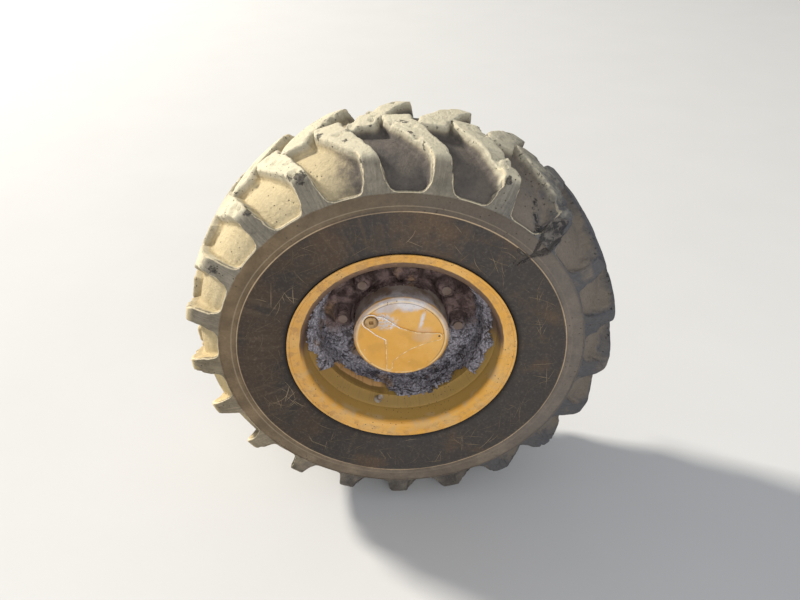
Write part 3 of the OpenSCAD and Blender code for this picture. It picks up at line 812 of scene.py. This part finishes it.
def barrel_tones(n, colour):
    """Darker olive inside the rim as painted shade, and beside the disc the paint left bare where the mud
    broke off, painted bright as a lit ledge with a painted shadow below it.
    """
    # painted shade: deeper inside the rim the yellow is painted darker olive
    depth = FLANGE_O * MM - n.out
    grime = n.step(depth + (n.mottle - 0.5) * 0.012, 0.000, 0.010)
    colour = n.mix(grime * 0.9, colour, (0.41, 0.262, 0.068))
    # the slope from the well is painted darker and the bead's seat beside it paler, evening out the light
    # each gets: painted shade on the slope, painted light on the seat
    slope = n.between(n.out, *SLOPE, 0.009)
    colour = n.mix(slope * 0.42, colour, (0.15, 0.095, 0.028))
    seat_light = n.between(n.out, *BEAD_SEAT, 0.009)
    colour = n.mix(seat_light * 0.5, colour, (0.50, 0.31, 0.085))
    ragged_out = n.out + n.ragged
    # bare paint beside the disc, painted bright as a lit ledge: bare paint with painted light, and a
    # painted shadow below it
    sector = n.between(n.across, -0.84, -0.24, 0.05) * n.step(n.up, -0.4, -0.5)
    strip_shadow = n.between(ragged_out, *SHADOW_STRIP, 0.006) * sector
    colour = n.mix(strip_shadow * 0.45, colour, (0.12, 0.070, 0.032))
    strip = n.between(ragged_out, *BRIGHT_STRIP, 0.0015) * sector
    return n.mix(strip * 0.95, colour, (0.88, 0.52, 0.22))


def flange_tones(n, colour):
    """The flange: painted shade on the left, dusty and scuffed, with rust along its lip."""
    # painted shade: the flange is darker on the left
    colour = n.mix(n.left * 0.28, colour, (0.34, 0.18, 0.060))
    dusty = n.step(n.mottle, 0.46, 0.62) * n.between(n.out, 0.122, 0.148, 0.008)
    dusty = dusty * n.blend(n.step(n.up, 0.2, -0.5), 0.25, 0.65)
    colour = n.mix(dusty, colour, (0.50, 0.36, 0.20))
    rust = n.step(n.noise(45.0, 6, 0.7), 0.60, 0.68) * n.step(n.radius, 0.243, 0.254)
    colour = n.mix(rust * 0.8, colour, (0.16, 0.075, 0.03))
    streaks = n.noise(1.0, 5, 0.65, n.vector(n.radius * 900.0, n.across * 11.0, n.up * 11.0))
    dark = n.step(streaks, 0.50, 0.66) * n.on_flange
    colour = n.mix(dark * 0.5, colour, (0.40, 0.27, 0.14))
    pale = n.step(streaks, 0.40, 0.30) * n.on_flange
    return n.mix(pale * 0.45, colour, (0.72, 0.60, 0.42))


def rim_paint():
    """The rim's paint under grime, dust, rust and packed mud."""
    n, colour = yellow_paint("rim_paint")
    n.ragged = (n.mottle - 0.5) * 0.022
    # the left, where the flange is painted in shade
    n.left = n.step(n.across + n.up * -0.35, 0.2, -0.9)
    n.on_flange = n.step(n.radius, 0.228, 0.236)
    colour = flange_tones(n, barrel_tones(n, colour))
    # stains that run across the barrel
    stains = n.noise(1.0, 5, 0.65, n.vector(n.out * 14.0, n.across * 34.0, n.up * 34.0))
    stains = n.step(stains, 0.46, 0.70) * n.step(n.radius, 0.222, 0.212)
    colour = n.mix(stains * 0.45, colour, (0.20, 0.125, 0.05))
    # dried mud packed inside the flange, with painted shade under its lip, deeper toward the top
    packed_mud_and_shade = n.radius + n.ragged * 0.25 - (n.up * 0.0105 + 0.2265)
    packed_mud_and_shade = n.step(packed_mud_and_shade, 0.0012, -0.0012) * n.step(n.up, -0.15, 0.15)
    colour = n.mix(packed_mud_and_shade * 0.93, colour, n.mix(n.fine, (0.05, 0.032, 0.028), (0.12, 0.075, 0.062)))
    scuffs = n.step(n.noise(62.0, 6, 0.7, distortion=0.6), 0.50, 0.60) * n.on_flange
    colour = n.mix(scuffs * n.blend(n.left, 0.32, 0.55), colour, (0.36, 0.19, 0.075))
    specks = n.step(n.cells(110.0), 0.20, 0.08) * n.step(n.broad, 0.44, 0.55)
    colour = n.mix(specks, colour, (0.09, 0.055, 0.035))
    # road dirt on the side toward the machine
    inner = n.step(n.out, -0.02, -0.10) * n.step(n.mottle, 0.3, 0.6)
    colour = n.mix(inner, colour, (0.20, 0.14, 0.09))
    relief = n.fine * 0.25 + n.mottle * 0.5
    roughness = n.blend(n.step(n.mottle, 0.3, 0.7), 0.45, 0.7)
    return n.finish(colour, roughness, n.bump(relief, 0.0012, 0.5), specular=0.4)


def white_wear_and_highlight(n, x, z, ragged):
    """White places on the cover's face: worn paint beside the plug and in a streak, and a painted highlight
    along its upper edge and upper chamfer.
    """
    ragged_z = z + ragged
    top_edge_highlight = n.step(ragged_z, 0.070, 0.082) * n.between(x, -0.055, 0.062, 0.012)
    chamfer_highlight = n.step(n.radius, 0.099, 0.103) * n.step(ragged_z, -0.03, 0.03)
    plug_away = n.length(x + 0.040, z - 0.050)
    near_plug = n.step(plug_away + ragged, 0.030, 0.018) * n.step(n.fine, 0.42, 0.5)
    along = x + z * -0.22 + ragged * 0.3
    streak = n.between(along, 0.032, 0.040, 0.003) * n.between(z, 0.028, 0.070, 0.010)
    white = n.most(n.most(top_edge_highlight, chamfer_highlight * 0.7), n.most(near_plug, streak))
    return white * n.blend(n.step(n.fine, 0.60, 0.70), 1.0, 0.25) * 0.9


def face_tones(n, x, z, ragged, colour):
    """The cover's face: worn paint, painted highlight and shade on its rings, the plug's dark ring, a paler
    patch, painted shade for dents, lines and chips.
    """
    white = n.tones(n.mottle, 0.4, 0.6, (0.70, 0.69, 0.72), (0.52, 0.51, 0.55))
    colour = n.mix(white_wear_and_highlight(n, x, z, ragged) * n.face, colour, white)
    # painted highlight in cream on the chamfer's edge, and painted shade in the groove beside it at the
    # upper right
    chamfer_edge_highlight = n.between(n.radius, *HIGHLIGHT_RING, 0.0008) * n.step(n.mottle, 0.35, 0.5)
    colour = n.mix(chamfer_edge_highlight * n.face * 0.75, colour, (0.80, 0.62, 0.36))
    groove_shade = n.between(n.radius, *SHADE_RING, 0.0006) * n.step(x + z, -0.03, 0.04)
    colour = n.mix(groove_shade * n.face * 0.8, colour, (0.16, 0.10, 0.06))
    plug_ring = n.between(n.length(x - PLUG.x, z - PLUG.z), *PLUG_RING, 0.0007)
    colour = n.mix(plug_ring * n.face * 0.92, colour, (0.045, 0.030, 0.022))
    pale = n.step(n.length(x - 0.050, z - 0.006) + ragged, 0.028, 0.012)
    colour = n.mix(pale * n.face * 0.6, colour, (0.66, 0.45, 0.30))
    # the dark dot at the end of the pattern's right arm
    dot = n.step(n.length(x - 0.087, z - 0.0051), 0.0032, 0.0018)
    colour = n.mix(dot * n.face, colour, (0.03, 0.02, 0.015))
    # painted shade for shallow dents in the face
    dent_shade = n.step(n.noise(17.0, 3, 0.5), 0.50, 0.38)
    colour = n.mix(dent_shade * n.face * 0.30, colour, (0.50, 0.27, 0.06))
    colour = n.mix(n.lines * n.face * 0.7, colour, (0.75, 0.66, 0.50))
    specks = n.step(n.cells(75.0), 0.13, 0.05)
    toward_edge = n.least(n.step(n.radius, 0.090, 0.102) + 0.15, 1.0)
    return n.mix(specks * toward_edge, colour, (0.08, 0.05, 0.035))


def cover_paint():
    """The hub cover's paint: its worn face and the drum's grimy side."""
    n, colour = yellow_paint("cover_paint")
    x = n.across * n.radius
    z = n.up * n.radius
    n.face = n.step(n.out, 0.085, 0.090)
    n.lines = n.step(n.noise(26.0, 5, 0.75, distortion=1.2), 0.66, 0.70)
    ragged = (n.mottle - 0.5) * 0.05
    colour = face_tones(n, x, z, ragged, colour)
    # the drum's side is grimy down to the disc, with bare grey-blue metal above, behind the face
    side = n.step(n.out + (n.mottle - 0.5) * 0.04, 0.088, 0.078)
    side = side - n.step(n.up, 0.1, -0.4) * n.step(n.out, 0.080, 0.086)
    grime = n.tones(n.mottle, 0.35, 0.65, (0.15, 0.115, 0.105), (0.34, 0.295, 0.28))
    bare = n.step(n.out + ragged, 0.060, 0.082) * n.step(n.up + ragged, 0.25, 0.75)
    metal = n.tones(n.fine, 0.35, 0.65, (0.42, 0.42, 0.47), (0.62, 0.61, 0.66))
    colour = n.mix(side * 0.92, colour, n.mix(bare * 0.85, grime, metal))
    relief = n.fine * 0.3 + n.mottle * 0.6 + n.lines * 0.2
    return n.finish(colour, 0.42, n.bump(relief, 0.0014, 0.6), specular=0.45)


# The worn strips, in millimetres: width, height over the pattern's top, depth down its side, and how
# far they stay from the plug's middle
EDGE_WIDTH = 2.1
EDGE_LIFT = 0.12
EDGE_DEPTH = 0.9
PLUG_CLEAR = 14


def pattern_edges(material):
    """Worn paint on the cover's raised pattern: a thin strip inside each edge of its top."""
    mesh = nodes["hub_cover"].data
    mesh.calc_loop_triangles()
    place = np.array([v.co for v in mesh.vertices]) / MM
    top = COVER_LOW.y / MM
    plug = PLUG / MM
    seen = {}
    for tri in mesh.loop_triangles:
        corners = place[list(tri.vertices)]
        if np.abs(corners[:, 1] - top).max() > 0.05:
            continue
        for i in range(3):
            a, b, c = corners[i], corners[(i + 1) % 3], corners[(i + 2) % 3]
            key = tuple(sorted((tuple(a.round(2)), tuple(b.round(2)))))
            seen.setdefault(key, []).append(c)
    verts, faces = [], []
    for (a, b), others in seen.items():
        a, b = np.array(a), np.array(b)
        if len(others) > 1 or np.hypot(a[0] - plug.x, a[2] - plug.z) < PLUG_CLEAR:
            continue
        along = (b - a) / np.linalg.norm(b - a)
        inward = others[0] - a - along * np.dot(others[0] - a, along)
        inward = inward / np.linalg.norm(inward) * EDGE_WIDTH
        lift = np.array((0, -EDGE_LIFT, 0))
        drop = np.array((0, EDGE_DEPTH, 0)) - inward * 0.07
        k = len(verts)
        for moved in (drop, lift, lift + inward):
            verts += [tuple((a + moved) * MM), tuple((b + moved) * MM)]
        faces += [(k, k + 1, k + 3, k + 2), (k + 2, k + 3, k + 5, k + 4)]
    strip = bpy.data.meshes.new("pattern_edges")
    strip.from_pydata(verts, [], faces)
    obj = placed(strip, material)
    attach(obj, "wheel")


def worn_edge():
    """Chipped paint on the pattern's edges, from tan to white."""
    n = Nodes("worn_edge")
    _, radius, across, up = n.round_axle()
    fine = n.noise(260.0, 5, 0.65)
    mottle = n.noise(55.0, 5, 0.6)
    # white toward the plug, at the upper left
    near_plug = (up - across) * radius + (mottle - 0.5) * 0.10
    tan = n.tones(mottle, 0.40, 0.55, (0.60, 0.37, 0.13), (0.84, 0.64, 0.36))
    white = n.tones(fine, 0.5, 0.62, (0.84, 0.83, 0.84), (0.62, 0.42, 0.18))
    colour = n.tones(near_plug, 0.020, 0.038, tan, white)
    colour = n.tones(fine, 0.70, 0.76, colour, (0.16, 0.10, 0.06))
    return n.finish(colour, 0.5, n.bump(fine, 0.0006, 0.5), specular=0.4)


def contours(n, scale, width, distortion, shift):
    """1 on thin curved lines, where a noise crosses its middle value."""
    moved = n.vector_math("ADD", n.place, shift)
    away = abs(n.noise(scale, 2.0, 0.5, moved, distortion) - 0.5)
    return n.step(away, width, width * 0.3)


def earth():
    """Caked mud with gravel, cracks and creases."""
    n = Nodes("caked_mud")
    _, radius, _, up = n.round_axle()
    fine = n.noise(150.0, 7, 0.7)
    lumps = n.noise(30.0, 6, 0.65)
    broad = n.noise(9.0, 4, 0.55)
    # dusty brown mud over the disc's upper part, grey gravel below and on the rim
    low = n.step(up + broad * 0.5, 0.35, -0.15)
    on_rim = n.step(radius + lumps * 0.01, 0.182, 0.192)
    dusty = n.tones(lumps, 0.36, 0.64, (0.066, 0.044, 0.041), (0.235, 0.165, 0.152))
    clods = n.cells(175.0, n.warped(0.004, 60.0))
    chunks = n.step(n.noise(52.0, 6, 0.7, distortion=0.9), 0.48, 0.39)
    gravel = n.tones(clods, 0.25, 0.70, (0.47, 0.455, 0.515), (0.26, 0.245, 0.278))
    gravel = n.mix(chunks, gravel, (0.105, 0.095, 0.104))
    gravel = n.tones(fine, 0.38, 0.60, n.mix(0.35, gravel, (0.11, 0.10, 0.105)), gravel)
    colour = n.mix(n.most(low, on_rim), dusty, gravel)
    earthy = n.step(n.noise(14.0, 5, 0.6), 0.56, 0.68)
    colour = n.mix(earthy * 0.6, colour, (0.38, 0.235, 0.135))
    # cracks, and painted shade in the creases round the nuts
    creases = contours(n, 16.0, 0.012, 1.0, (3, 1, 5)) * n.step(broad, 0.44, 0.56)
    creases = n.most(creases, n.attribute("crease") * n.step(lumps, 0.25, 0.5))
    colour = n.mix(creases * 0.75, colour, (0.050, 0.035, 0.031))
    relief = fine * 0.9 - clods * 0.6 - chunks * 0.5 + lumps - creases * 0.8
    return n.finish(colour, 0.95, n.bump(relief, 0.004, 0.9), specular=0.15)


def muddy_steel(name, colour, metallic, dirt):
    """Steel or casting under dried dirt; dirt is how much of it is covered, from 0 to 1."""
    n = Nodes(name)
    fine = n.noise(170.0, 6, 0.65)
    mottle = n.noise(38.0, 6, 0.6)
    rust = n.tones(n.noise(60.0, 5, 0.7), 0.4, 0.65, (0.10, 0.045, 0.02), (0.24, 0.115, 0.05))
    base = n.tones(mottle, 0.42, 0.66, colour, rust)
    over = mottle * 0.6 + n.noise(11.0, 5, 0.6) * 0.4 + (fine - 0.5) * 0.5
    over = n.step(over, 0.58 - 0.6 * dirt, 1.08 - 0.6 * dirt)
    dried = n.mix(fine, (0.10, 0.077, 0.062), (0.25, 0.196, 0.158))
    bump = n.bump(fine * 0.5 + over * 0.7, 0.0016, 0.6)
    roughness = n.blend(over, 0.5, 0.92)
    return n.finish(n.mix(over, base, dried), roughness, bump, (1.0 - over) * metallic, 0.4)


def seal():
    """Black rubber with a little dust."""
    n = Nodes("seal")
    fine = n.noise(150.0, 5, 0.6)
    colour = n.mix(fine, (0.012, 0.012, 0.012), (0.06, 0.052, 0.045))
    return n.finish(colour, 0.7, n.bump(fine, 0.0006, 0.5))


def pale_floor():
    """Pale ground, hardly mottled."""
    n = Nodes("floor")
    soft = n.noise(3.0, 4, 0.5)
    return n.finish(n.mix(soft, (0.565, 0.568, 0.575), (0.595, 0.598, 0.605)), 0.9, specular=0.1)


# Steel and cast pieces. Columns: material, bare colour, metallic, dirt, the nodes that wear it
STEELS = [
    ("disc_paint", (0.62, 0.33, 0.10), 0.0, 0.25, ["wheel_disc"]),
    ("valve_brass", (0.42, 0.39, 0.36), 0.3, 0.4, ["valve_stem"]),
    ("casting", (0.42, 0.26, 0.07), 0.0, 0.68, ["hub", "knuckle", "king_pin_ears"]),
    ("rusty_steel", (0.17, 0.14, 0.12), 0.6, 0.55, ["wheel_nuts", "spindle_bolts", "stop_bolt"]),
    ("stud_ends", (0.22, 0.155, 0.135), 0.0, 0.6, ["wheel_studs"]),
    ("plug_steel", (0.52, 0.32, 0.13), 0.0, 0.3, ["oil_plug"]),
    ("machined_steel", (0.36, 0.34, 0.32), 0.9, 0.3, ["spindle"]),
]
FLOOR_SIZE = 80.0


def dress(name, material):
    """Gives a node of the frame its material."""
    mesh = nodes[name].data
    mesh.materials.clear()
    mesh.materials.append(material)


def floor():
    """The ground under the tyre, wide enough to reach past the view."""
    half = FLOOR_SIZE / 2
    corners = [(-half, -half), (half, -half), (half, half), (-half, half)]
    mesh = bpy.data.meshes.new("floor")
    mesh.from_pydata([(x, y, FLOOR_Z) for x, y in corners], [], [(0, 1, 2, 3)])
    obj = placed(mesh, pale_floor())


bpy.context.scene.view_settings.view_transform = "Standard"
camera()
floor()
world(light_strength=0.45, seen_colour=(0.93, 0.935, 0.94))
area_light("sun_side", (-15.25, 7.72, 11.1), size=2.4, power=6900, colour=(1.0, 0.94, 0.83))
area_light("front", (0.4, -3.2, 1.6), size=2.2, power=47)

tyre_rubber = rubber()
tread(tyre_rubber)
sidewalls(tyre_rubber)
scratches()
mud(earth())
dress("rim", rim_paint())
dress("hub_cover", cover_paint())
pattern_edges(worn_edge())
for material, colour, metallic, dirt, dressed in STEELS:
    steel = muddy_steel(material, colour, metallic, dirt)
    for name in dressed:
        dress(name, steel)
for name in ("hub_seal", "shaft_seal"):
    dress(name, seal())
